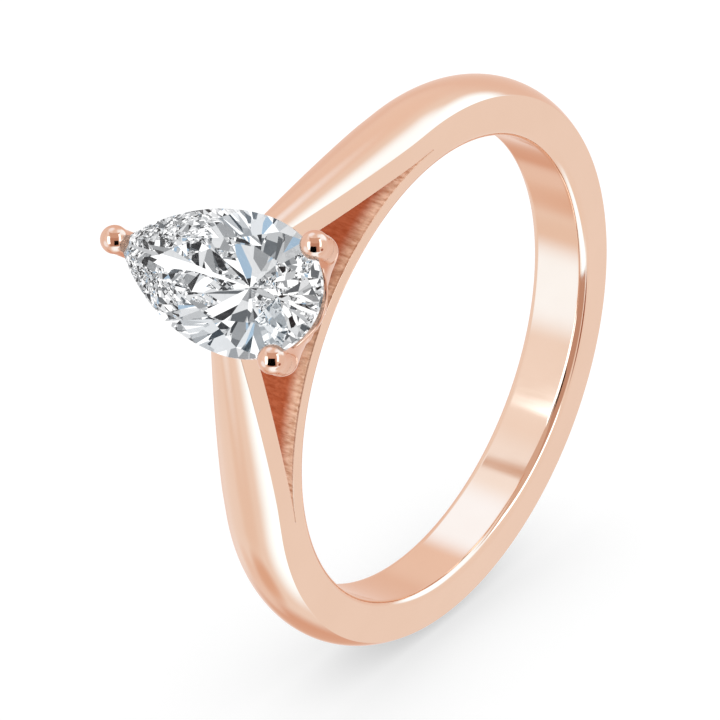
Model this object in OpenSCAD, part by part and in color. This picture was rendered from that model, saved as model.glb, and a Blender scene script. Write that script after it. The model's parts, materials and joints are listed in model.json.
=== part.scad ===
// Solitaire engagement ring with cathedral shoulders and a pear-cut stone in a three-claw head.
// Origin at the centre of the finger hole. +Y runs along the finger, towards the point of the
// stone. +Z runs from the finger up to the stone. Units are millimetres.

/* [Finger hole] */
// Inside diameter of the ring
finger_d = 16.5; // [15:0.25:19]
// Rounding of the inner edges, for comfort
inner_round = 0.33; // [0.2:0.01:0.4]

/* [Band] */
// Width of the band, measured along the finger
band_w = 2.3; // [2:0.1:2.8]
// Thickness of the band at its flat sides
side_t = 1.45; // [1.3:0.05:1.6]
// Rise of the domed outer face above the flat sides
dome_h = 0.41; // [0.3:0.01:0.5]

/* [Shoulders] */
// Angle from the top where each shoulder leaves the round of the band
shoulder_angle = 46; // [44:0.5:48]
// Height of a shoulder's flat side
shoulder_t = 0.72; // [0.6:0.02:0.8]
// Distance along the shoulder before its width starts to narrow
taper_start = 2.2; // [1:0.1:3]
// Width of a shoulder at its end by the head
shoulder_end_w = 1; // [0.8:0.05:1.5]
// Rise of the dome where a shoulder meets the head
shoulder_end_dome = 0.12; // [0.05:0.01:0.2]
// Thickness of the rail that closes the finger hole under the head
finger_rail_t = 0.75; // [0.6:0.05:0.85]

/* [Stone] */
// Width of the pear-cut stone
stone_w = 4.46; // [4.2:0.02:4.6]
// Length of the round end, from the widest line
round_end_l = 2.78; // [2.6:0.02:2.9]
// Length of the pointed end, from the widest line
point_end_l = 4.92; // [4.7:0.02:5.1]
// Place of the widest line along the finger
widest_y = -1.08; // [-1.3:0.02:-0.9]
// Height of the middle of the girdle above the finger hole's centre
girdle_z = 13.7; // [13.5:0.05:14]
// Thickness of the girdle
girdle_t = 0.12; // [0.08:0.02:0.2]
// Height of the crown above the girdle
crown_h = 0.62; // [0.5:0.02:0.7]
// Depth of the pavilion below the girdle
pavilion_h = 1.95; // [1.8:0.05:2.1]
// Table size as a share of the girdle outline
table_share = 0.6; // [0.55:0.01:0.65]

/* [Claws] */
// Diameter of the claws' shafts
claw_d = 0.76; // [0.6:0.02:0.84]
// Diameter of the round beads at the claws' tips
bead_d = 0.92; // [0.8:0.02:1]
// Height of the bead's centre above the middle of the girdle
bead_rise = 0.35; // [0.25:0.05:0.4]
// Sideways distance of the two round-end claws from the middle
claw_x = 1.83; // [1.7:0.01:1.9]
// Place of the two round-end claws along the finger
claw_y = -3.15; // [-3.25:0.01:-3.05]
// Place of the claw at the stone's point
point_claw_y = 3.84; // [3.7:0.01:3.9]
// Depth below the girdle where the claws bend inwards
bend_drop = 0.3; // [0.2:0.05:0.8]

/* [Gallery] */
// Height of the gallery rail
gallery_h = 0.9; // [0.8:0.05:1.1]
// Height of the gallery rail's top edge above the finger hole's centre
gallery_top_z = 12.45; // [12.3:0.05:12.5]
// Size of the gallery rail's top edge, as a share of the girdle outline
gallery_share = 0.87; // [0.78:0.01:0.9]
// Size of its bottom edge, as a share of its top edge
gallery_taper = 0.78; // [0.75:0.01:0.88]
// Wall of the gallery rail
gallery_wall = 0.56; // [0.4:0.02:0.6]

/* [Hidden] */
$fn = 64;
OUTLINE_STEPS = 16;           // points along each quarter of a pear outline
GIRDLE_STEPS = 8;             // the same for the facets round the girdle
TABLE_STEPS = 2;              // and round the table
EPS = 0.01;                   // thickness of a hull's end slices
CLEAR = 0.2;                  // overshoot of cutting solids
UNDER_STEPS = 2;              // points of a shoulder's ring, on each half of its underside
DOME_STEPS = 5;               // and on each half of its dome
RAIL_STEPS = 3;               // rings where a shoulder lies on the finger rail
MEET_STEPS = 12;              // steps that settle where a shoulder meets the gallery rail
BEND_SWELL = 1.04;            // the bend is this much thicker than the shaft
BEND_OVERLAP = 0.1;           // and both stem and leg run this far past it
POINT_INSET = 1.6;            // an inset outline draws back this much more at its point
FOOT_DEPTH = 0.5;             // a claw's leg starts this far inside the pad and is cut off at its top
finger_r = finger_d / 2;
side_r = finger_r + side_t;   // radius of the edge between flat side and dome
crown_r = side_r + dome_h;    // radius of the top of the dome
rail_r = finger_r + finger_rail_t;
half_w = band_w / 2;
dome_r = (half_w * half_w + dome_h * dome_h) / (2 * dome_h);

// Head: the claws' feet stand on a pad of this size, over the middle of the finger rail
base_top_z = rail_r + 0.85;
base_half_w = 0.85;
base_round_l = 1;
base_point_l = 1.45;
base_y = -0.12;
foot_x = 0.62;
foot_y = -0.92;
point_foot_y = 0.95;
gallery_y = -0.9;
gallery_half_w = gallery_share * stone_w / 2;
gallery_round_l = gallery_share * round_end_l;
gallery_point_l = gallery_share * point_end_l;
gallery_arc_r = arc_r(gallery_half_w, gallery_point_l);
bead_z = girdle_z + bead_rise;
bend_z = girdle_z - bend_drop;
shoulder_len = 8;             // reaches just inside the gallery rail, which trims it
CLAWS = [[[0, point_claw_y], [0, point_foot_y]],
         [[-claw_x, claw_y], [-foot_x, foot_y]],
         [[claw_x, claw_y], [foot_x, foot_y]]];

ROSE_GOLD = "#e8b298";
PALE_STONE = "#dfe6ea";

// ---------- outlines ----------

// Pear outline: half an ellipse for the round end, two arcs that meet at the point
function arc_r(w, l) = (l * l + w * w) / (2 * w);
function pear(w, rnd, pnt, n = OUTLINE_STEPS) = concat(
    [for (i = [0 : 2 * n]) let (a = 180 + 90 * i / n) [w * cos(a), rnd * sin(a)]],
    [for (i = [1 : n]) let (r = arc_r(w, pnt), a = asin(pnt / r) * i / n) [w - r + r * cos(a), r * sin(a)]],
    [for (i = [n - 1 : -1 : 1]) let (r = arc_r(w, pnt), a = asin(pnt / r) * i / n)
        [r - w - r * cos(a), r * sin(a)]]);
function girdle(share, n = OUTLINE_STEPS) =
    pear(stone_w / 2 * share, round_end_l * share, point_end_l * share, n);

// Section of the band, with X as radius: rounded inner edges, flat sides, domed outer face
module band_section(outer_r) {
    intersection() {
        union() {
            translate([finger_r + inner_round, -half_w])
                square([outer_r - finger_r - inner_round, band_w]);
            translate([finger_r, -half_w + inner_round])
                square([2 * inner_round, band_w - 2 * inner_round]);
            for (s = [-1, 1])
                translate([finger_r + inner_round, s * (half_w - inner_round)])
                    circle(r = inner_round);
        }
        translate([crown_r - dome_r, 0]) circle(r = dome_r, $fn = 96);
    }
}

// Turns a section around the finger, from angle a0 to a1 counted from the top towards +X
module around_finger(a0, a1)
    rotate([90, 0, 0]) rotate([0, 0, 90 - a1]) rotate_extrude(angle = a1 - a0, $fn = 180) children();

// ---------- band ----------

module shank() color(ROSE_GOLD)
    around_finger(shoulder_angle, 360 - shoulder_angle) band_section(crown_r);

module finger_rail() color(ROSE_GOLD)
    around_finger(-shoulder_angle, shoulder_angle)
        intersection() {
            band_section(crown_r);
            translate([0, -band_w]) square([rail_r, 2 * band_w]);
        }

// A shoulder is a bar tangent to the band, lofted through rings of points. In its own frame X
// points outwards from the finger, Y runs along the finger and Z runs along the bar, towards
// the head. Its width and dome shrink along it.
function shrink(l) = max(0, l - taper_start) / (shoulder_len - taper_start);
function bar_half_w(l) = (band_w + (shoulder_end_w - band_w) * shrink(l)) / 2;
function bar_dome(l) = dome_h + (shoulder_end_dome - dome_h) * shrink(l);
// Its underside lies on the finger rail until it leaves it, and is flat from there on
function bar_under(l) = max(side_r - shoulder_t, sqrt(max(0, rail_r * rail_r - l * l)));
// One ring: the underside from -Y to +Y, then the dome from +Y back to -Y
function bar_ring(l) = let (h = bar_half_w(l), d = bar_dome(l), r = (h * h + d * d) / (2 * d), a = asin(h / r))
    concat([for (i = [-UNDER_STEPS : UNDER_STEPS]) [bar_under(l), h * i / UNDER_STEPS, l]],
           [for (i = [DOME_STEPS : -1 : -DOME_STEPS]) let (b = a * i / DOME_STEPS)
               [side_r + d - r + r * cos(b), r * sin(b), l]]);
function bar_to_ring(p) = [p.x * sin(shoulder_angle) - p.z * cos(shoulder_angle), p.y,
                           p.x * cos(shoulder_angle) + p.z * sin(shoulder_angle)];
// Half-width at y of the gallery rail's top outline, shrunk to the share k
function gallery_x(y, k) = let (v = (y - gallery_y) / k)
    k * (v < 0 ? gallery_half_w * sqrt(1 - pow(v / gallery_round_l, 2))
               : gallery_half_w - gallery_arc_r + sqrt(gallery_arc_r * gallery_arc_r - v * v));
function gallery_shrink(z) = 1 - (1 - gallery_taper) * (gallery_top_z - z) / gallery_h;
// Slides a point of the last ring along the bar until it touches the gallery rail, in a few steps
function bar_z(p) = p.x * cos(shoulder_angle) + p.z * sin(shoulder_angle);
function meet_gallery(p, steps = MEET_STEPS) = steps == 0 ? p
    : meet_gallery([p.x, p.y, (p.x * sin(shoulder_angle) - gallery_x(p.y, gallery_shrink(bar_z(p))))
                              / cos(shoulder_angle)], steps - 1);

// Closed solid through rings that all hold n points, with a fan at each end
module loft(rings) {
    n = len(rings[0]);
    last = len(rings) - 1;
    function middle(ring) = [for (k = [0 : 2]) (min([for (p = ring) p[k]]) + max([for (p = ring) p[k]])) / 2];
    points = concat([for (ring = rings) each ring], [middle(rings[0]), middle(rings[last])]);
    sides = [for (i = [0 : last - 1], j = [0 : n - 1]) let (a = i * n + j, b = i * n + (j + 1) % n)
        each [[a, b, a + n], [b, b + n, a + n]]];
    ends = [for (j = [0 : n - 1]) let (k = (j + 1) % n, m = (last + 1) * n)
        each [[m, k, j], [m + 1, last * n + j, last * n + k]]];
    polyhedron(points, concat(sides, ends));
}
module shoulder() {
    on_rail = sqrt(rail_r * rail_r - pow(side_r - shoulder_t, 2));
    stations = concat([for (i = [0 : RAIL_STEPS]) on_rail * i / RAIL_STEPS], [taper_start]);
    loft(concat([for (l = stations) [for (p = bar_ring(l)) bar_to_ring(p)]],
                [[for (p = bar_ring(shoulder_len)) bar_to_ring(meet_gallery(p))]]));
}

module shoulder_right() color(ROSE_GOLD) shoulder();
module shoulder_left() color(ROSE_GOLD) mirror([1, 0, 0]) shoulder();

// ---------- head ----------

// Pear that narrows downwards from its top outline, drawn in by inset all round
module gallery_solid(inset, overshoot) {
    slope = (1 - gallery_taper) / gallery_h;
    high = 1 + slope * overshoot;
    low = gallery_taper - slope * overshoot;
    translate([0, gallery_y, gallery_top_z + overshoot])
        mirror([0, 0, 1])
            linear_extrude(gallery_h + 2 * overshoot, scale = low / high)
                polygon(pear((gallery_half_w - inset) * high, (gallery_round_l - inset) * high,
                             (gallery_point_l - POINT_INSET * inset) * high));
}

// Pear-shaped rail that ties the claws together under the stone
module gallery_rail() color(ROSE_GOLD)
    difference() {
        gallery_solid(0, 0);
        gallery_solid(gallery_wall, CLEAR);
        for (c = CLAWS) leg(c[0], c[1]);
    }

// Pad that stands on the finger rail and takes the feet of the claws
module head_base() color(ROSE_GOLD)
    difference() {
        translate([0, base_y, finger_r])
            linear_extrude(base_top_z - finger_r)
                polygon(pear(base_half_w, base_round_l, base_point_l));
        rotate([90, 0, 0]) cylinder(r = rail_r, h = 2 * band_w, center = true, $fn = 180);
    }

// Round rod from p to q
module rod(p, q, d) {
    v = q - p;
    translate(p) rotate([0, acos(v.z / norm(v)), atan2(v.y, v.x)]) cylinder(d = d, h = norm(v));
}

// Sloping leg of a claw, from inside the pad to just past the bend
module leg(top, foot) {
    low = [foot.x, foot.y, base_top_z];
    bend = [top.x, top.y, bend_z];
    along = (bend - low) / norm(bend - low);
    rod(low - FOOT_DEPTH * along, bend + BEND_OVERLAP * along, claw_d);
}

// One claw: bead, upright stem, rounded bend and leg, cut flat where it stands on the pad
module claw_body(top, foot) {
    difference() {
        union() {
            translate([top.x, top.y, bead_z]) sphere(d = bead_d);
            translate([top.x, top.y, bend_z - BEND_OVERLAP])
                cylinder(d = claw_d, h = bead_z - bend_z + BEND_OVERLAP);
            translate([top.x, top.y, bend_z]) sphere(d = claw_d * BEND_SWELL);
            leg(top, foot);
        }
        translate([-stone_w, -point_end_l, 0]) cube([2 * stone_w, 2 * point_end_l, base_top_z]);
    }
}

// A claw with the notch that holds the edge of the stone
module claw(p) color(ROSE_GOLD)
    difference() {
        claw_body(p[0], p[1]);
        stone();
    }
module claw_point() claw(CLAWS[0]);
module claw_left() claw(CLAWS[1]);
module claw_right() claw(CLAWS[2]);

// ---------- stone ----------

// Pear-cut stone: flat table, sloping crown, thin girdle, pavilion down to the culet
module stone()
    translate([0, widest_y, girdle_z])
        hull() {
            translate([0, 0, -girdle_t / 2]) linear_extrude(girdle_t) polygon(girdle(1, GIRDLE_STEPS));
            translate([0, 0, crown_h - EPS]) linear_extrude(EPS) polygon(girdle(table_share, TABLE_STEPS));
            translate([0, 0, -pavilion_h]) linear_extrude(EPS) square(2 * EPS, center = true);
        }
module diamond() color(PALE_STONE) stone();

shank();
finger_rail();
shoulder_left();
shoulder_right();
head_base();
gallery_rail();
claw_point();
claw_left();
claw_right();
diamond();
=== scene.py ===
"""Looks of a rose gold solitaire ring with a pear-cut diamond, built around its CAD frame.

Shapes are worked out in millimetres, in the frame's own axes: the origin is the centre of the finger
hole, +Y runs along the finger to the point of the stone and +Z from the finger up to the stone.
"""
import json

import bmesh
import bpy
import numpy as np
from mathutils import Matrix, Vector, noise


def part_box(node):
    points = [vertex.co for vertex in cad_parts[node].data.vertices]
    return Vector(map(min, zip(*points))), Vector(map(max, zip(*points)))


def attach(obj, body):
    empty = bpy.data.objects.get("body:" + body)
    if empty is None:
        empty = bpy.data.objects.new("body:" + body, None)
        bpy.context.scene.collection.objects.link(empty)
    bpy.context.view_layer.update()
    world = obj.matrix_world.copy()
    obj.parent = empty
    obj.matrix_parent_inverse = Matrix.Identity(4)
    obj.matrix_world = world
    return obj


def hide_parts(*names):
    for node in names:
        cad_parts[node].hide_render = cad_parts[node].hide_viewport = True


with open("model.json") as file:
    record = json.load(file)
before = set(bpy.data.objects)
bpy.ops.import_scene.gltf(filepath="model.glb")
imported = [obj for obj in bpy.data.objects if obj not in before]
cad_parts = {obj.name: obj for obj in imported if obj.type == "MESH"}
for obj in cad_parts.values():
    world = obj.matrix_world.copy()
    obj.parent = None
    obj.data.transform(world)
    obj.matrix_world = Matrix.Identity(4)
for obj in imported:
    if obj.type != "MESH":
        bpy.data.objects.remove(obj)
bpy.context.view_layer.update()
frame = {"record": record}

MM = 0.001  # metres in a millimetre


def box_mm(node):
    """Lowest and highest corner of a CAD node, in millimetres."""
    return [np.array(corner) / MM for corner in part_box(node)]


# ---------- driving sizes, from the frame where it has them ----------

FINGER_R = frame["record"]["mounts"][0]["dims"]["r_mm"]
BAND_HALF_W = box_mm("shank")[1][1]
CROWN_R = -box_mm("shank")[0][2]
RAIL_R = box_mm("finger_rail")[1][2]
DOME_H = 0.41
SIDE_R = CROWN_R - DOME_H          # edge between flat side and dome
INNER_ROUND = 0.33
CREASE_ROUND = 0.05                # polishing softens every outer edge this much
SHOULDER_ANGLE = 46                # degrees from the top
SHOULDER_T = 0.72
SHOULDER_LEN = 8                   # length over which a shoulder narrows
TAPER_START = 0.9                  # distance along a shoulder where it starts to narrow
TAPER_EASE = 1.35                  # above 1, the narrowing starts slowly
UNDER_FLARE = 0.03                 # a shoulder is this much deeper where it leaves the band
UNDER_FLARE_LEN = 3
UNDER_LINES = 8                    # points across each half of a shoulder's cast underside
SHOULDER_END_W = 1.0
SHOULDER_END_DOME = 0.12
SHOULDER_DEPTH = 0.15              # a shoulder ends this far inside the gallery rail's wall

CAST_LINES = 24                    # points across each half of the finger rail's cast face
CAST_RELIEF = 0.03                 # depth of its ridges and pits
CAST_RIM = 0.1                     # width of the polished edge beside it
CAST_CROWN = 0.04                  # the middle of the cast face stands this much above its rim
CAST_SLOPE_W = 0.5                 # width over which it rises
CAST_LIT_W = 0.65               # how far in from the flat side the cast surface keeps its lit colour; farther in it is painted shade

STONE_LOW, STONE_HIGH = box_mm("diamond")
STONE_HALF_W = STONE_HIGH[0]
ROUND_END_L = 2.78
POINT_END_L = STONE_HIGH[1] - STONE_LOW[1] - ROUND_END_L
WIDEST_Y = STONE_LOW[1] + ROUND_END_L
CROWN_H = 0.62
PAVILION_H = 1.95
GIRDLE_T = 0.12
GIRDLE_Z = STONE_HIGH[2] - CROWN_H
TABLE_SHARE = 0.6                  # size of the table, as a share of the stone's outline

GALLERY_LOW_Z = box_mm("gallery_rail")[0][2]
GALLERY_TOP_Z = box_mm("gallery_rail")[1][2]
GALLERY_Y = -0.9                   # place of its widest line along the finger
GALLERY_SHARE = 0.87               # size of its top edge, as a share of the stone's outline
GALLERY_TAPER = 0.78               # size of its bottom edge, as a share of its top edge
GALLERY_WALL = 0.56
GALLERY_CORNER = 0.13              # rounding of the rail's edges
GALLERY_SWOOP = 0.6                # how far the rail's top edge climbs up each claw
SWOOP_NEAR = 0.25                  # it is full this near to a claw's leg
SWOOP_REACH = 1.1                  # and fades out over this much more
POINT_INSET = 1.6                  # an inset outline draws back this much more at its point

BASE_TOP_Z = box_mm("head_base")[1][2]
BASE_HALF_W, BASE_ROUND_L, BASE_POINT_L, BASE_Y = 0.85, 1.0, 1.45, -0.12

BEAD_R = 0.46
BEAD_Z = box_mm("claw_left")[1][2] - BEAD_R
CLAW_R = 0.38
CLAW_SWELL = 0.06                  # a leg thickens this much towards the bend
CLAW_FOOT = 0.07                   # and this much at its foot
CLAW_FOOT_H = 0.5                  # over this height
CLAW_SINK = 0.2                    # a leg starts this far inside the base pad
BEND_Z = GIRDLE_Z - 0.3
BEND_ARM = 0.45                    # length of the bend's curve on the side of the leg
NECK_BLEND = 0.03                  # softening where a claw's shaft meets its bead
# Each claw's top and foot, across and along the finger
CLAWS = {"claw_point": ((0, 3.84), (0, 0.95)),
         "claw_left": ((-1.83, -3.15), (-0.62, -0.92)),
         "claw_right": ((1.83, -3.15), (0.62, -0.92))}


# ---------- plain geometry ----------

def cosd(a):
    return np.cos(np.radians(a))


def sind(a):
    return np.sin(np.radians(a))


def unit(v):
    v = np.asarray(v, float)
    return v / np.linalg.norm(v)


def smooth_step(t):
    t = np.clip(t, 0, 1)
    return t * t * (3 - 2 * t)


def arc(x, y, r, start, end, steps):
    """Points on an arc round (x, y), both ends included, angles in degrees."""
    return [(x + r * cosd(a), y + r * sind(a)) for a in np.linspace(start, end, steps + 1)]


def pear(half_w, round_l, point_l, steps=24):
    """Pear outline: half an ellipse for the round end, then two arcs that meet at the point."""
    r = (point_l ** 2 + half_w ** 2) / (2 * half_w)
    turn = np.degrees(np.arcsin(point_l / r))
    round_end = [(half_w * cosd(a), round_l * sind(a)) for a in np.linspace(180, 360, 2 * steps + 1)]
    right = arc(half_w - r, 0, r, 0, turn, steps)[1:]
    return np.array(round_end + right + [(-x, y) for x, y in right[-2::-1]])


def mirrored(half):
    """Closes a section that is symmetric about its X axis, from its half on the -Y side."""
    return np.array(half + [(x, -y) for x, y in reversed(half) if y != 0])


def add_piece(name, points, faces, materials, flat=(), shade=None, rough=()):
    """A mesh object from points in millimetres. flat lists faces that are shaded flat, shade holds a
    normal for each point, and rough lists faces that take the second material."""
    mesh = bpy.data.meshes.new(name)
    corners = [tuple(p * MM) for p in np.asarray(points, float)]
    mesh.from_pydata(corners, [], [list(map(int, f)) for f in faces])
    flat, rough = set(flat), set(rough)
    for material in materials:
        mesh.materials.append(material)
    for polygon in mesh.polygons:
        polygon.use_smooth = polygon.index not in flat
        polygon.material_index = 1 if polygon.index in rough else 0
    if shade is not None:
        normals = [tuple(polygon.normal) if polygon.index in flat else tuple(shade[v])
                   for polygon in mesh.polygons for v in polygon.vertices]
        mesh.normals_split_custom_set(normals)
    mesh.validate()
    piece = bpy.data.objects.new(name, mesh)
    bpy.context.scene.collection.objects.link(piece)
    return piece


def skin(name, rings, materials, ghost=False, loop=False, round_end=False, rough_columns=()):
    """Closed mesh through rings of points, shaded with the rings' own slopes. With ghost, the first and
    last ring only steer those slopes. With loop, the last ring meets the first."""
    rings = np.asarray(rings, float)
    around = np.roll(rings, -1, 1) - np.roll(rings, 1, 1)
    if loop:
        along = np.roll(rings, -1, 0) - np.roll(rings, 1, 0)
    else:
        along = np.gradient(rings, axis=0)
    normals = np.cross(around, along)
    normals /= np.maximum(np.linalg.norm(normals, axis=2, keepdims=True), 1e-12)
    if ghost:
        rings, normals = rings[1:-1], normals[1:-1]
    count, n = rings.shape[:2]
    faces, rough = [], []
    for i in range(count if loop else count - 1):
        for j in range(n):
            k, m = (i + 1) % count, (j + 1) % n
            if j in rough_columns:
                rough.append(len(faces))
            faces.append((i * n + j, i * n + m, k * n + m, k * n + j))
    flat = []
    if not loop:
        faces += [tuple(reversed(range(n))), tuple(range((count - 1) * n, count * n))]
        flat = [len(faces) - 2] if round_end else [len(faces) - 2, len(faces) - 1]
    middle = rings.reshape(count, n, 3).mean(axis=1, keepdims=True)
    if np.sum(normals * (rings - middle)) < 0:
        normals = -normals
    first = np.cross(rings[0, 1] - rings[0, 0], rings[1, 1] - rings[0, 0])
    if first @ normals[0, 0] < 0:
        faces = [f[::-1] for f in faces]
    if round_end:
        normals[-1] = unit(rings[-1].mean(axis=0) - rings[-2].mean(axis=0))
    return add_piece(name, rings.reshape(-1, 3), faces, materials, flat, normals.reshape(-1, 3), rough)


# ---------- materials ----------

# Each pair holds the two shades that a clouding runs between
GOLD, GOLD_PALE = (0.82, 0.575, 0.435), (0.835, 0.59, 0.45)
# Painted shade: a darker, more copper copy of the polished gold, so that the gallery and the claws look
# dimmer than the band
GOLD_CLAW_SHADED, GOLD_CLAW_SHADED_PALE = (0.76, 0.47, 0.34), (0.78, 0.49, 0.36)
GOLD_CAST, GOLD_CAST_DARK = (0.84, 0.49, 0.32), (0.5, 0.21, 0.11)
# Painted shade: dark copper for the cast faces deep under the shoulders
GOLD_PAINTED_SHADE, GOLD_PAINTED_SHADE_DARK = (0.48, 0.11, 0.045), (0.34, 0.06, 0.02)
GOLD_CAST_SHEEN = (0.9, 0.5, 0.35)
DIAMOND, DIAMOND_CLOUD = (1, 1, 1), (0.99, 0.995, 1)
DIAMOND_IOR = 2.417
DIAMOND_SHEEN = (0.15, 0.15, 0.15)   # tint of the crown's own reflections, kept low, to see into it


def new_material(name):
    material = bpy.data.materials.new(name)
    material.use_nodes = True
    nodes, links = material.node_tree.nodes, material.node_tree.links
    return material, nodes, links, nodes["Principled BSDF"]


def noise_node(nodes, links, scale, detail, stretch=(1, 1, 1)):
    """Noise in the frame's own coordinates; scale is in features per millimetre."""
    place = nodes.new("ShaderNodeTexCoord")
    mapping = nodes.new("ShaderNodeMapping")
    mapping.inputs["Scale"].default_value = stretch
    texture = nodes.new("ShaderNodeTexNoise")
    texture.inputs["Scale"].default_value = scale / MM
    texture.inputs["Detail"].default_value = detail
    links.new(place.outputs["Object"], mapping.inputs["Vector"])
    links.new(mapping.outputs["Vector"], texture.inputs["Vector"])
    return texture


def ranged(nodes, links, source, low, high):
    """A noise texture's value, spread over a range of its own."""
    spread = nodes.new("ShaderNodeMapRange")
    spread.inputs["From Min"].default_value = 0.3
    spread.inputs["From Max"].default_value = 0.7
    spread.inputs["To Min"].default_value = low
    spread.inputs["To Max"].default_value = high
    links.new(source.outputs["Fac"], spread.inputs["Value"])
    return spread.outputs["Result"]


def mix_node(nodes):
    """A colour mix, and its factor, first colour, second colour and result."""
    mix = nodes.new("ShaderNodeMix")
    mix.data_type = "RGBA"
    return mix.inputs[0], mix.inputs[6], mix.inputs[7], mix.outputs[2]


def mixed_colour(nodes, links, source, first, second):
    factor, low, high, result = mix_node(nodes)
    low.default_value = (*first, 1)
    high.default_value = (*second, 1)
    links.new(ranged(nodes, links, source, 0, 1), factor)
    return result


def math_node(nodes, links, operation, first, second=None):
    node = nodes.new("ShaderNodeMath")
    node.operation = operation
    links.new(first, node.inputs[0])
    if second is not None:
        links.new(second, node.inputs[1])
    return node.outputs[0]


def soft_edge(nodes, links, value, low, high, to_low=0.0, to_high=1.0):
    edge = nodes.new("ShaderNodeMapRange")
    edge.interpolation_type = "SMOOTHSTEP"
    for name, number in zip(("From Min", "From Max", "To Min", "To Max"), (low, high, to_low, to_high)):
        edge.inputs[name].default_value = number
    links.new(value, edge.inputs["Value"])
    return edge.outputs["Result"]


def painted(nodes, links, below, mask, colour):
    """Lays a colour over what is below, where the mask is 1. The colour may be a socket."""
    factor, first, second, result = mix_node(nodes)
    links.new(below, first)
    links.new(mask, factor)
    if isinstance(colour, tuple):
        second.default_value = (*colour, 1)
    else:
        links.new(colour, second)
    return result


def add_bump(nodes, links, shader, source, distance_mm, strength):
    bump = nodes.new("ShaderNodeBump")
    bump.inputs["Distance"].default_value = distance_mm * MM
    bump.inputs["Strength"].default_value = strength
    links.new(source.outputs["Fac"], bump.inputs["Height"])
    links.new(bump.outputs["Normal"], shader.inputs["Normal"])


def polished_gold(name, colour, pale):
    """Rose gold under a high polish: slight clouding of the alloy and hair-fine polishing lines."""
    material, nodes, links, shader = new_material(name)
    clouds = noise_node(nodes, links, 0.5, 2)
    lines = noise_node(nodes, links, 6, 3, (1, 0.15, 1))
    shader.inputs["Metallic"].default_value = 1
    links.new(mixed_colour(nodes, links, clouds, colour, pale), shader.inputs["Base Color"])
    links.new(ranged(nodes, links, lines, 0.07, 0.11), shader.inputs["Roughness"])
    add_bump(nodes, links, shader, lines, 0.0015, 0.2)
    return material


def cast_gold_painted_shade():
    """Rose gold as it leaves the mould, inside the shoulder openings: matt and ridged. Its colour stays
    lit near the flat sides and is painted dark copper farther in: painted shade, as under the
    shoulders."""
    material, nodes, links, shader = new_material("rose_gold_cast_painted_shade")
    grain = noise_node(nodes, links, 9, 6, (1, 0.3, 1))
    place = nodes.new("ShaderNodeTexCoord")
    axes = nodes.new("ShaderNodeSeparateXYZ")
    links.new(place.outputs["Object"], axes.inputs[0])
    off_middle = math_node(nodes, links, "ABSOLUTE", axes.outputs["Y"])
    # The mask is 1 near the flat sides, where the lit colour stays, and 0 farther in, where painted
    # shade goes
    dark_to, light_from = (BAND_HALF_W - CAST_LIT_W) * MM, (BAND_HALF_W - CAST_RIM) * MM
    depth = soft_edge(nodes, links, off_middle, dark_to, light_from)
    # Painted shade: dark copper farther in from the flat sides, as if the shoulders shaded the cast
    # faces
    deep = mixed_colour(nodes, links, grain, GOLD_PAINTED_SHADE_DARK, GOLD_PAINTED_SHADE)
    light = mixed_colour(nodes, links, grain, GOLD_CAST_DARK, GOLD_CAST)
    links.new(painted(nodes, links, deep, depth, light), shader.inputs["Base Color"])
    shader.inputs["Metallic"].default_value = 1
    shader.inputs["Specular Tint"].default_value = (*GOLD_CAST_SHEEN, 1)
    links.new(ranged(nodes, links, grain, 0.4, 0.5), shader.inputs["Roughness"])
    add_bump(nodes, links, shader, grain, 0.05, 0.8)
    return material


def clear_diamond():
    """Diamond: clear, with its own refraction. The faint clouding stands for its few inclusions."""
    material, nodes, links, shader = new_material("diamond_clear")
    clouds = noise_node(nodes, links, 1.2, 3)
    shader.inputs["IOR"].default_value = DIAMOND_IOR
    shader.inputs["Roughness"].default_value = 0
    shader.inputs["Transmission Weight"].default_value = 1
    shader.inputs["Specular Tint"].default_value = (*DIAMOND_SHEEN, 1)
    tint = mixed_colour(nodes, links, clouds, DIAMOND_CLOUD, DIAMOND)
    links.new(tint, shader.inputs["Base Color"])
    return material


# ---------- band ----------

def crease_and_dome(half_w, dome, side_r=SIDE_R):
    """The -Y half of a domed face: the softened crease from the flat side, then the dome to its top."""
    r = (half_w ** 2 + dome ** 2) / (2 * dome)
    centre = side_r + dome - r
    turn = half_w - CREASE_ROUND
    x = centre + np.sqrt((r - CREASE_ROUND) ** 2 - turn ** 2)
    tangent = np.degrees(np.arctan2(turn, x - centre))
    crease = arc(x, -turn, CREASE_ROUND, 270, 360 - tangent, 6)
    return crease + arc(centre, 0, r, -tangent, 0, 12)[1:-1] + [(side_r + dome, 0)]


def inner_edge(half_w=BAND_HALF_W):
    """The comfort rounding between the finger hole and a flat side."""
    return arc(FINGER_R + INNER_ROUND, INNER_ROUND - half_w, INNER_ROUND, 180, 270, 8)


def around_finger(section, start, end, step):
    """Rings of a section (X is radius) turned round the finger, angles from the top towards +X, with
    one ghost ring past each end."""
    count = round(abs(end - start) / step)
    width = (end - start) / count
    return np.array([[(x * sind(a), y, x * cosd(a)) for x, y in section]
                     for a in start + width * np.arange(-1, count + 2)])


def make_shank(gold):
    """The band, from one shoulder round the finger to the other."""
    section = mirrored(inner_edge() + crease_and_dome(BAND_HALF_W, DOME_H))
    rings = around_finger(section, SHOULDER_ANGLE, 360 - SHOULDER_ANGLE, 1)
    return skin("band_shank", rings, [gold], ghost=True)


def cast_depth(p, edge):
    """Depth of the cast surface at a point: ridges across the band, fading out towards the rim."""
    ridges = noise.noise(Vector((p[0] * 5.5, p[1] * 1.6, p[2] * 5.5)))
    pits = noise.noise(Vector(p) * 11)
    return CAST_RELIEF * (0.75 * ridges + 0.35 * pits - 0.4) * smooth_step(edge / CAST_RIM - 1)


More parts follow.
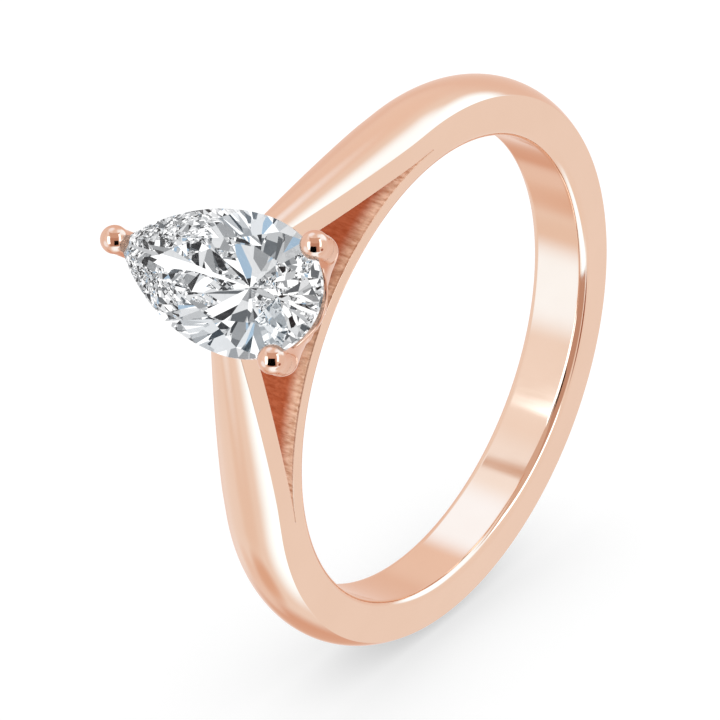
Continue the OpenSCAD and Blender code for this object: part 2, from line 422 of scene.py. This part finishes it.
def make_finger_rail(gold, cast):
    """The rail under the head: polished inside and at its rims, rough as cast on its outer face."""
    corner = 0.06
    rim_r = RAIL_R - CAST_CROWN
    edge = arc(rim_r - corner, corner - BAND_HALF_W, corner, 270, 360, 5)
    across = np.linspace(corner - BAND_HALF_W, 0, CAST_LINES + 1)[1:-1]
    rise = [CAST_CROWN * smooth_step((y + BAND_HALF_W - CAST_RIM) / CAST_SLOPE_W) for y in across]
    half = inner_edge() + edge + [(rim_r + r, y) for r, y in zip(rise, across)]
    section = mirrored(half)
    rings = around_finger(section, -SHOULDER_ANGLE, SHOULDER_ANGLE, 0.5)
    first = len(inner_edge() + edge)
    for ring in rings:
        for j in range(first, 2 * len(half) - first):
            p = ring[j]
            out = unit((p[0], 0, p[2]))
            ring[j] = p + out * cast_depth(p, BAND_HALF_W - abs(p[1]))
    start = len(inner_edge()) + 2
    return skin("finger_rail_cast", rings, [gold, cast], ghost=True,
                rough_columns=range(start, 2 * len(half) - start - 1))


# ---------- shoulders ----------

def pear_x(y, half_w, round_l, point_l):
    """Half-width of a pear outline at y."""
    if y < 0:
        return half_w * np.sqrt(max(0, 1 - (y / round_l) ** 2))
    r = (point_l ** 2 + half_w ** 2) / (2 * half_w)
    return half_w - r + np.sqrt(r * r - y * y)


def bar_to_ring(p):
    """From a shoulder's own axes (outwards, along the finger, along the bar) to the frame's."""
    return np.array([p[0] * sind(SHOULDER_ANGLE) - p[2] * cosd(SHOULDER_ANGLE), p[1],
                     p[0] * cosd(SHOULDER_ANGLE) + p[2] * sind(SHOULDER_ANGLE)])


def bar_section(along):
    """A shoulder's section at a distance along it: outwards, and along the finger."""
    shrink = (max(0, along - TAPER_START) / (SHOULDER_LEN - TAPER_START)) ** TAPER_EASE
    half_w = (2 * BAND_HALF_W + (SHOULDER_END_W - 2 * BAND_HALF_W) * shrink) / 2
    dome = DOME_H + (SHOULDER_END_DOME - DOME_H) * shrink
    under = SIDE_R - SHOULDER_T - UNDER_FLARE * (1 - smooth_step(along / UNDER_FLARE_LEN))
    corner = 0.05
    across = [(under, y) for y in np.linspace(0, corner - half_w, UNDER_LINES + 1)[:-1]]
    return mirrored(across + arc(under + corner, corner - half_w, corner, 180, 270, 5)
                    + crease_and_dome(half_w, dome))


def gallery_outline(inset=0.0):
    """Half-width, round length and point length of the gallery rail's top edge."""
    return (GALLERY_SHARE * STONE_HALF_W - inset, GALLERY_SHARE * ROUND_END_L - inset,
            GALLERY_SHARE * POINT_END_L - POINT_INSET * inset)


def gallery_scale(z):
    """Size of the tapered gallery rail at a height, as a share of its size at the top edge."""
    return 1 - (1 - GALLERY_TAPER) * (GALLERY_TOP_Z - z) / (GALLERY_TOP_Z - GALLERY_LOW_Z)


def meet_gallery(out, y, depth):
    """How far along the bar a line of its section lies depth inside the gallery rail's outer wall."""
    along = SHOULDER_LEN
    for _ in range(12):   # each round comes closer
        k = gallery_scale(out * cosd(SHOULDER_ANGLE) + along * sind(SHOULDER_ANGLE))
        x = k * pear_x((y - GALLERY_Y) / k, *gallery_outline()) - depth
        along = (out * sind(SHOULDER_ANGLE) - x) / cosd(SHOULDER_ANGLE)
    return along


def make_shoulder(name, side, gold, cast):
    """A bar tangent to the band that narrows to the head and ends inside the gallery rail."""
    steps = 40
    stations = np.linspace(0, 1, steps + 1)
    section = bar_section(SHOULDER_LEN)
    ends = [meet_gallery(x, y, SHOULDER_DEPTH) for x, y in section]
    rings = [[(x, y, -0.2) for x, y in bar_section(0)]]
    # Towards the end, each line of the section stretches or shrinks to meet the rail's curved wall
    for t in stations:
        here = bar_section(t * SHOULDER_LEN)
        rings.append([(x, y, t * SHOULDER_LEN + t ** 4 * (end - SHOULDER_LEN))
                      for (x, y), end in zip(here, ends)])
    rings.append(2 * np.array(rings[-1]) - np.array(rings[-2]))
    rings = np.array([[bar_to_ring(p) for p in ring] for ring in rings])
    rings[:, :, 0] *= side
    last = rings.shape[1] - 1
    under = [*range(UNDER_LINES), *range(last - UNDER_LINES + 1, last + 1)]
    return skin(name, rings, [gold, cast], ghost=True, rough_columns=under)


# ---------- head ----------

def leg_at(top, foot, z):
    """Where a claw's leg passes the height z."""
    t = (z - BASE_TOP_Z) / (BEND_Z - BASE_TOP_Z)
    return [f + (p - f) * t for p, f in zip(top, foot)]


def make_gallery(gold):
    """Tapered pear-shaped rail. Its top edge sweeps up to each claw, as filed from one piece."""
    steps = 40
    outer, inner = pear(*gallery_outline(), steps), pear(*gallery_outline(GALLERY_WALL), steps)
    legs = [leg_at(top, foot, GALLERY_TOP_Z) for top, foot in CLAWS.values()]
    corner_steps = 5
    corner = GALLERY_CORNER
    # 1 where a corner is outer, 1 where it is upper, and the angle where its rounding starts
    corners = [(1, 1, 0), (0, 1, 90), (0, 0, 180), (1, 0, 270)]
    rings = []
    for (ox, oy), (ix, iy) in zip(outer, inner):
        near = min(np.hypot(ox - x, oy + GALLERY_Y - y) for x, y in legs)
        rise = GALLERY_SWOOP * (1 - smooth_step((near - SWOOP_NEAR) / SWOOP_REACH))
        top, low = GALLERY_TOP_Z + rise, GALLERY_LOW_Z
        ring = []
        for s, t, turn in corners:
            for a in np.linspace(turn, turn + 90, corner_steps):
                across = s + (corner * cosd(a) - corner * (2 * s - 1)) / GALLERY_WALL
                z = t * (top - low) + low + corner * sind(a) - corner * (2 * t - 1)
                k = gallery_scale(z)
                x, y = across * ox + (1 - across) * ix, across * oy + (1 - across) * iy
                ring.append((k * x, k * y + GALLERY_Y, z))
        rings.append(ring)
    return skin("gallery_pear_rail", rings, [gold], loop=True)


def make_head_base(gold):
    """Pad under the claws' feet, with a softened top edge and a foot that flares onto the rail."""
    # Heights, and how far the outline has grown there
    levels = [(RAIL_R - 0.25, 0.04), (RAIL_R - 0.05, 0.03), (RAIL_R + 0.08, 0.01), (RAIL_R + 0.2, 0),
              (BASE_TOP_Z - 0.16, 0), (BASE_TOP_Z - 0.1, -0.02), (BASE_TOP_Z - 0.03, -0.07),
              (BASE_TOP_Z, -0.15)]
    rings = []
    for z, grow in levels:
        outline = pear(BASE_HALF_W + grow, BASE_ROUND_L + grow, BASE_POINT_L + grow, 12)[:-1]
        rings.append([(x, y + BASE_Y, z) for x, y in outline])
    return skin("head_base_pad", rings, [gold])


def claw_radius(z):
    """Radius of a claw at a height: a foot, a leg that thickens towards the bend, and the bead."""
    foot = CLAW_FOOT * (1 - smooth_step((z - BASE_TOP_Z) / CLAW_FOOT_H))
    swell = CLAW_SWELL * smooth_step((z - GALLERY_LOW_Z) / (BEND_Z - GALLERY_LOW_Z))
    shaft = CLAW_R + foot + swell
    off = (z - BEAD_Z) / BEAD_R
    ball = BEAD_R * np.sqrt(max(0, 1 - off * off)) if abs(off) < 1 else 0
    if z > BEAD_Z:
        return max(ball, 0.004)
    larger = 0.5 * (shaft + ball + np.sqrt((shaft - ball) ** 2 + NECK_BLEND ** 2))
    return larger - NECK_BLEND / 2


def make_claw(name, top, foot, gold):
    """A leg that climbs out of the base, bends upright at the stone's edge and ends in a round bead."""
    low = np.array([*foot, BASE_TOP_Z - CLAW_SINK])
    bend = np.array([*top, BEND_Z])
    tip = np.array([*top, BEAD_Z + BEAD_R])
    start = bend + unit(low - bend) * BEND_ARM
    stop = bend + unit(tip - bend) * BEND_ARM * 0.6
    curve = [(1 - t) ** 2 * start + 2 * t * (1 - t) * bend + t * t * stop
             for t in np.linspace(0, 1, 14)]
    leg = [low + (start - low) * t for t in np.linspace(0, 1, 30)[:-1]]
    stem_z = np.linspace(stop[2], BEAD_Z - BEAD_R, 6)[1:-1]
    ball = [BEAD_Z - BEAD_R * cosd(a) for a in np.linspace(20, 179, 36)]
    stem = [np.array([*top, z]) for z in [*stem_z, *ball]]
    line = np.array(leg + curve + stem)
    side = unit(np.cross(tip - bend, low - bend))
    rings = []
    for i, p in enumerate(line):
        ahead = unit(line[min(i + 1, len(line) - 1)] - line[max(i - 1, 0)])
        across = unit(np.cross(side, ahead))
        r = claw_radius(p[2])
        rings.append([p + r * (cosd(a) * side + sind(a) * across) for a in np.arange(0, 360, 9)])
    return skin(name, rings, [gold], round_end=True)


# ---------- stone ----------

# Places of the main facets round the outline: 0 is the middle of the round end, 1 the widest line on
# the right, 2 the point and 3 the widest line on the left
CROWN_PLACES = [0, 0.55, 1.1, 1.6, 2, 2.4, 2.9, 3.45]
PAVILION_PLACES = [0, 0.3, 0.6, 0.9, 1.2, 1.45, 1.7, 2, 2.3, 2.55, 2.8, 3.1, 3.4, 3.7]
# Where the stars end, as a share of the way from the table to the girdle, and where the lower halves
# end, as a share of the way from the culet to the girdle
STAR_REACH, LOWER_REACH = 0.5, 0.4
# Where the two halves between a pair of mains touch the girdle, as shares of the way
HALF_SHARES = (0.27, 0.73)


def cut(mesh, point, normal):
    """Cuts a facet: removes what lies beyond the plane and closes the cut."""
    geometry = mesh.verts[:] + mesh.edges[:] + mesh.faces[:]
    found = bmesh.ops.bisect_plane(mesh, geom=geometry, dist=1e-7, plane_co=Vector(point) * MM,
                                   plane_no=Vector(normal), clear_outer=True)
    edges = [e for e in found["geom_cut"] if isinstance(e, bmesh.types.BMEdge)]
    open_edges = [e for e in edges if len(e.link_faces) < 2]
    if open_edges:
        bmesh.ops.holes_fill(mesh, edges=open_edges, sides=0)


def facet_plane(a, b, c, up):
    """A point on the plane through three points, and its normal on the side of up."""
    a, b, c = (np.asarray(p, float) for p in (a, b, c))
    normal = unit(np.cross(b - a, c - a))
    return a, normal if normal[2] * up > 0 else -normal


def make_diamond(clear):
    """Pear brilliant: a table, eight stars, eight kites and sixteen halves above the girdle, and
    fourteen mains and twenty-eight halves below it, each cut as a plane."""
    outline = pear(STONE_HALF_W, ROUND_END_L, POINT_END_L, 32)[:-1]
    count = len(outline)
    mesh = bmesh.new()
    rings = [[mesh.verts.new(Vector((x, y, z)) * MM) for x, y in outline]
             for z in (-PAVILION_H, CROWN_H)]
    mesh.faces.new(rings[0][::-1])
    mesh.faces.new(rings[1])
    for i in range(count):
        k = (i + 1) % count
        mesh.faces.new((rings[0][i], rings[0][k], rings[1][k], rings[1][i]))

    halves = ((1, CROWN_H, GIRDLE_T / 2, TABLE_SHARE, CROWN_PLACES, STAR_REACH),
              (-1, -PAVILION_H, -GIRDLE_T / 2, 0.0, PAVILION_PLACES, LOWER_REACH))
    for up, height, z, inner, places, reach in halves:
        mains = [outline_point(s) for s in places]
        planes = []
        for p, along in mains:
            edge = np.array([*p, z])
            corner = (p[0] * inner, p[1] * inner, height)
            planes.append(facet_plane(edge, edge + [*along, 0], corner, up))
        for i in range(len(mains)):
            k = (i + 1) % len(mains)
            ridge = ridge_point(planes[i], planes[k], height + (z - height) * reach)
            for share in HALF_SHARES:
                s = between(places[i], places[k], share)
                p, along = outline_point(s)
                edge = np.array([*p, z])
                cut(mesh, *facet_plane(edge, edge + [*along, 0], ridge, up))
            if up > 0:
                corners = [np.array([*(m[0] * inner), height]) for m in (mains[i], mains[k])]
                cut(mesh, *facet_plane(*corners, ridge, up))
        for plane in planes:
            cut(mesh, *plane)
    bmesh.ops.remove_doubles(mesh, verts=mesh.verts[:], dist=2e-7)
    bmesh.ops.dissolve_limit(mesh, angle_limit=0.002, verts=mesh.verts[:], edges=mesh.edges[:])
    bmesh.ops.recalc_face_normals(mesh, faces=mesh.faces[:])
    data = bpy.data.meshes.new("diamond_pear_brilliant")
    mesh.to_mesh(data)
    mesh.free()
    data.materials.append(clear)
    data.transform(Matrix.Translation(Vector((0, WIDEST_Y, GIRDLE_Z)) * MM))
    piece = bpy.data.objects.new("diamond_pear_brilliant", data)
    bpy.context.scene.collection.objects.link(piece)
    return piece


def between(a, b, share):
    """A place between two places on the closed outline, which is 4 round."""
    return (a + ((b - a) % 4) * share) % 4


def outline_point(s):
    """A point of the girdle outline at a place, and the outline's direction there."""
    side = 1 if s <= 2 else -1
    t = s if s <= 2 else 4 - s
    if t <= 1:
        a = 90 * (t - 1)
        p = np.array([STONE_HALF_W * cosd(a), ROUND_END_L * sind(a)])
        along = np.array([-STONE_HALF_W * sind(a), ROUND_END_L * cosd(a)])
    else:
        r = (POINT_END_L ** 2 + STONE_HALF_W ** 2) / (2 * STONE_HALF_W)
        a = np.degrees(np.arcsin(POINT_END_L / r)) * (t - 1)
        p = np.array([STONE_HALF_W - r + r * cosd(a), r * sind(a)])
        along = np.array([-sind(a), cosd(a)]) if t < 2 else np.array([1.0, 0.0])
    return p * [side, 1], unit(along * [side, 1])


def ridge_point(first, second, z):
    """Where two facet planes and the height z meet."""
    rows = np.array([first[1], second[1], (0, 0, 1)])
    return np.linalg.solve(rows, [first[1] @ first[0], second[1] @ second[0], z])


# ---------- studio ----------

AZIMUTH, ELEVATION, ROLL = -2.09, 58.74, -67.9     # degrees
DISTANCE = 110
AIM = (-0.675, 1.824, 1.092)
LENS, SENSOR = 160.92, 36

FLOOR_HALF = 400
FLOOR_GAP = 0.01                                   # between the band and the floor
FLOOR_GREY, FLOOR_PALE = (0.49, 0.49, 0.49), (0.5, 0.5, 0.5)
FLOOR_GLOW = 0.54                                  # the floor's own light, which keeps its shadow soft
BACKDROP = (1.08, 1.08, 1.08)
LIGHT_BOUNCES = 24                                 # light is mirrored many times inside the stone


def camera_axes():
    """The camera's right, up and backward directions."""
    back = np.array([sind(AZIMUTH) * cosd(ELEVATION), -cosd(AZIMUTH) * cosd(ELEVATION),
                     sind(ELEVATION)])
    level = np.array([cosd(AZIMUTH), sind(AZIMUTH), 0])
    upright = np.cross(back, level)
    right = cosd(ROLL) * level + sind(ROLL) * upright
    return right, np.cross(back, right), back


def make_camera():
    """Camera at the photograph's viewing angle."""
    right, up, back = camera_axes()
    data = bpy.data.cameras.new("camera")
    data.lens, data.sensor_width = LENS, SENSOR
    data.clip_start, data.clip_end = 0.001, 10
    camera = bpy.data.objects.new("camera", data)
    position = (np.array(AIM) + back * DISTANCE) * MM
    matrix = np.eye(4)
    matrix[:3, :3] = np.column_stack([right, up, back])
    matrix[:3, 3] = position
    camera.matrix_world = Matrix(matrix.tolist())
    bpy.context.scene.collection.objects.link(camera)
    bpy.context.scene.camera = camera


def floor_up():
    """Normal of the floor, which is level across the picture and along the finger, under the band."""
    return unit(np.cross(camera_axes()[0], (0, 1, 0)))


def make_plane(name, middle, across, along, half, material):
    """A square sheet of the studio."""
    corners = [middle + half * (a * across + b * along)
               for a, b in ((-1, -1), (1, -1), (1, 1), (-1, 1))]
    return add_piece(name, corners, [(0, 1, 2, 3)], [material])


def make_floor():
    """White floor that is seen from its front only, so that it doesn't hide the ring from behind."""
    up = floor_up()
    material, nodes, links, shader = new_material("floor_white")
    shader.inputs["Roughness"].default_value = 0.9
    shader.inputs["Specular IOR Level"].default_value = 0
    clouds = noise_node(nodes, links, 0.01, 2)
    links.new(mixed_colour(nodes, links, clouds, FLOOR_GREY, FLOOR_PALE), shader.inputs["Base Color"])
    shader.inputs["Emission Color"].default_value = (1, 1, 1, 1)
    shader.inputs["Emission Strength"].default_value = FLOOR_GLOW
    clear = nodes.new("ShaderNodeBsdfTransparent")
    side = nodes.new("ShaderNodeNewGeometry")
    mix = nodes.new("ShaderNodeMixShader")
    links.new(side.outputs["Backfacing"], mix.inputs[0])
    links.new(shader.outputs[0], mix.inputs[1])
    links.new(clear.outputs[0], mix.inputs[2])
    links.new(mix.outputs[0], nodes["Material Output"].inputs["Surface"])
    across = unit(np.cross(up, (0, 1, 0)))
    middle = -up * (CROWN_R + FLOOR_GAP)
    floor = make_plane("floor", middle, across, np.cross(up, across), FLOOR_HALF, material)
    if floor.data.polygons[0].normal @ Vector(up) < 0:
        floor.data.flip_normals()
    floor.visible_glossy = floor.visible_transmission = False


# The surroundings as polished metal mirrors them. Directions are in the camera's axes: right, up and
# towards the camera. Each soft light has the angles from its middle where it starts to fade and where
# it ends, and its colour
METAL_SURROUND = (1.0, 0.98, 0.98)
SOFT_LIGHTS = [
    ((0.1, 0.35, -0.93), 20, 55, (0.92, 0.74, 0.66)),
    ((-0.08, -0.56, -0.82), 9, 25, (0.8, 0.52, 0.4)),
    ((-0.43, -0.56, -0.7), 3, 14, (0.95, 0.82, 0.76)),
    ((-0.42, -0.78, -0.46), 1, 15, (0.86, 0.62, 0.5)),
    ((-0.7, -0.71, -0.15), 4, 18, (0.96, 0.87, 0.82)),
    ((-0.1, 0.93, -0.35), 10, 28, (0.98, 0.86, 0.81)),
    ((-0.82, 0.15, 0.55), 14, 34, (1.05, 1.08, 1.12)),
    ((-0.87, -0.46, 0.12), 9, 25, (1.18, 1.55, 1.9)),
    ((0.2, -0.96, 0.2), 12, 41, (1.3, 1.9, 2.4)),
    ((0.53, -0.85, -0.03), 9, 18, (1.0, 0.96, 0.94)),
    ((0.62, 0.77, 0.2), 5, 29, (1.25, 1.75, 2.2)),
    ((0.74, 0.64, -0.2), 10, 24, (1.3, 1.9, 2.4)),
    ((-0.5, 0.8, 0.32), 6, 26, (1.1, 1.24, 1.38)),
    ((-0.29, 0.95, 0.0), 8, 22, (1.18, 1.55, 1.95)),
    ((0.72, -0.5, 0.28), 4, 13, (0.4, 0.15, 0.08)),
]
# Flat cards on stands: direction, half-width and half-height in degrees, and colour
CARDS = [
    ((0, 0, 1), 36, 50, (0.78, 0.62, 0.54)),
    ((-0.71, -0.12, 0.7), 11, 27, (2.2, 3, 3.6)),
    ((0.71, 0.2, 0.68), 7, 26, (2.2, 3, 3.6)),
    ((0.03, -0.42, 0.9), 30, 34, (0.62, 0.42, 0.34)),
]
CARD_BLUR = 1.5   # degrees of softness on each side of a card's edge
# A black card close to the stone, which the claws' beads mirror. Its direction is in the same axes
CARD_TOWARD = (0.03, -0.5, 0.86)
CARD_DISTANCE = 10
CARD_HALF = 4.3

# The surroundings as the stone returns them: panels of one shade each. Each shade comes after the
# share of the panels that take the shades before it
GEM_PANELS = [(0.0, (0.01, 0.01, 0.012)), (0.1, (0.11, 0.12, 0.13)), (0.2, (0.32, 0.33, 0.34)),
              (0.34, (0.36, 0.5, 0.64)), (0.38, (0.54, 0.55, 0.56)), (0.58, (0.76, 0.77, 0.78)),
              (0.76, (1.2, 1.2, 1.2))]
GEM_PANEL_DENSITY = 9


def make_card():
    """The black card, which is seen in mirrors only."""
    material, nodes, links, shader = new_material("card_black")
    shader.inputs["Base Color"].default_value = (0, 0, 0, 1)
    shader.inputs["Specular IOR Level"].default_value = 0
    axes = np.array(camera_axes())
    toward = unit(CARD_TOWARD) @ axes
    middle = np.array([0, WIDEST_Y, BEAD_Z]) + toward * CARD_DISTANCE
    across = unit(np.cross(axes[1], toward))
    card = make_plane("card", middle, across, np.cross(toward, across), CARD_HALF, material)
    card.visible_camera = card.visible_diffuse = card.visible_transmission = card.visible_shadow = False


def dot_node(nodes, links, place, axis):
    """The part of a ray's direction that lies along an axis."""
    dot = nodes.new("ShaderNodeVectorMath")
    dot.operation = "DOT_PRODUCT"
    dot.inputs[1].default_value = tuple(axis)
    links.new(place.outputs["Generated"], dot.inputs[0])
    return dot.outputs["Value"]


def plain_colour(nodes, colour):
    node = nodes.new("ShaderNodeRGB")
    node.outputs[0].default_value = (*colour, 1)
    return node.outputs[0]


def metal_surroundings(nodes, links, place):
    """The soft lights and cards in front of a pale surround, each painted over the ones before it."""
    axes = np.array(camera_axes())
    result = plain_colour(nodes, METAL_SURROUND)
    for direction, full, ends, colour in SOFT_LIGHTS:
        toward = dot_node(nodes, links, place, unit(direction) @ axes)
        mask = soft_edge(nodes, links, toward, cosd(ends), cosd(full))
        result = painted(nodes, links, result, mask, colour)
    for direction, half_w, half_h, colour in CARDS:
        centre = unit(direction)
        across = unit(np.cross((0, 1, 0), centre))
        mask = soft_edge(nodes, links, dot_node(nodes, links, place, centre @ axes), 0, 0.1)
        for axis, half in ((across, half_w), (np.cross(centre, across), half_h)):
            off = math_node(nodes, links, "ABSOLUTE", dot_node(nodes, links, place, axis @ axes))
            inside = soft_edge(nodes, links, off, sind(half - CARD_BLUR), sind(half + CARD_BLUR), 1, 0)
            mask = math_node(nodes, links, "MULTIPLY", mask, inside)
        result = painted(nodes, links, result, mask, colour)
    return result


def gem_surroundings(nodes, links, place):
    """Panels all round, each with one shade from the list."""
    cells = nodes.new("ShaderNodeTexVoronoi")
    cells.inputs["Scale"].default_value = GEM_PANEL_DENSITY
    links.new(place.outputs["Generated"], cells.inputs["Vector"])
    ramp = nodes.new("ShaderNodeValToRGB")
    ramp.color_ramp.interpolation = "CONSTANT"
    stops = ramp.color_ramp.elements
    while len(stops) < len(GEM_PANELS):
        stops.new(0.5)
    for stop, (start, colour) in zip(stops, GEM_PANELS):
        stop.position, stop.color = start, (*colour, 1)
    split = nodes.new("ShaderNodeSeparateColor")
    links.new(cells.outputs["Color"], split.inputs["Color"])
    links.new(split.outputs["Red"], ramp.inputs["Fac"])
    return ramp.outputs["Color"]


def make_world():
    """Plain white for the floor and the backdrop, and the two sets of surroundings for mirrored rays
    and for rays that have come through the stone."""
    world = bpy.data.worlds.new("studio")
    bpy.context.scene.world = world
    world.use_nodes = True
    nodes, links = world.node_tree.nodes, world.node_tree.links
    place = nodes.new("ShaderNodeTexCoord")
    ray = nodes.new("ShaderNodeLightPath")
    result = plain_colour(nodes, BACKDROP)
    seen_by = (("Is Glossy Ray", metal_surroundings), ("Is Transmission Ray", gem_surroundings))
    for kind, surroundings in seen_by:
        result = painted(nodes, links, result, ray.outputs[kind], surroundings(nodes, links, place))
    links.new(result, nodes["Background"].inputs["Color"])


# ---------- the ring ----------

def dress(piece, slot, node):
    """Puts a piece in its CAD node's place. Mirrored rays see only the band and the stone, and so do
    rays that pass through the stone, so that the head doesn't darken it from below."""
    piece.visible_transmission = slot == "diamond"
    piece.visible_glossy = node in ("shank", "diamond")
    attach(piece, "root")
    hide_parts(node)


make_camera()
gold = polished_gold("rose_gold_polished", GOLD, GOLD_PALE)
# The gallery and the claws take a darker copy of the polished gold, as painted shade
claw_gold_shaded = polished_gold("rose_gold_claws_shaded", GOLD_CLAW_SHADED, GOLD_CLAW_SHADED_PALE)
cast, clear = cast_gold_painted_shade(), clear_diamond()
dress(make_shank(gold), "rose_gold", "shank")
dress(make_finger_rail(gold, cast), "rose_gold", "finger_rail")
for side, hand in ((-1, "left"), (1, "right")):
    dress(make_shoulder(f"shoulder_bar_{hand}", side, gold, cast), "rose_gold", f"shoulder_{hand}")
dress(make_head_base(gold), "rose_gold", "head_base")
dress(make_gallery(claw_gold_shaded), "rose_gold", "gallery_rail")
for node, (top, foot) in CLAWS.items():
    dress(make_claw(f"{node}_beaded", top, foot, claw_gold_shaded), "rose_gold", node)
dress(make_diamond(clear), "diamond", "diamond")
make_floor()
make_card()
make_world()
bpy.context.scene.view_settings.view_transform = "Standard"
cycles = bpy.context.scene.cycles
cycles.max_bounces = cycles.glossy_bounces = cycles.transmission_bounces = LIGHT_BOUNCES
cycles.caustics_reflective = cycles.caustics_refractive = False
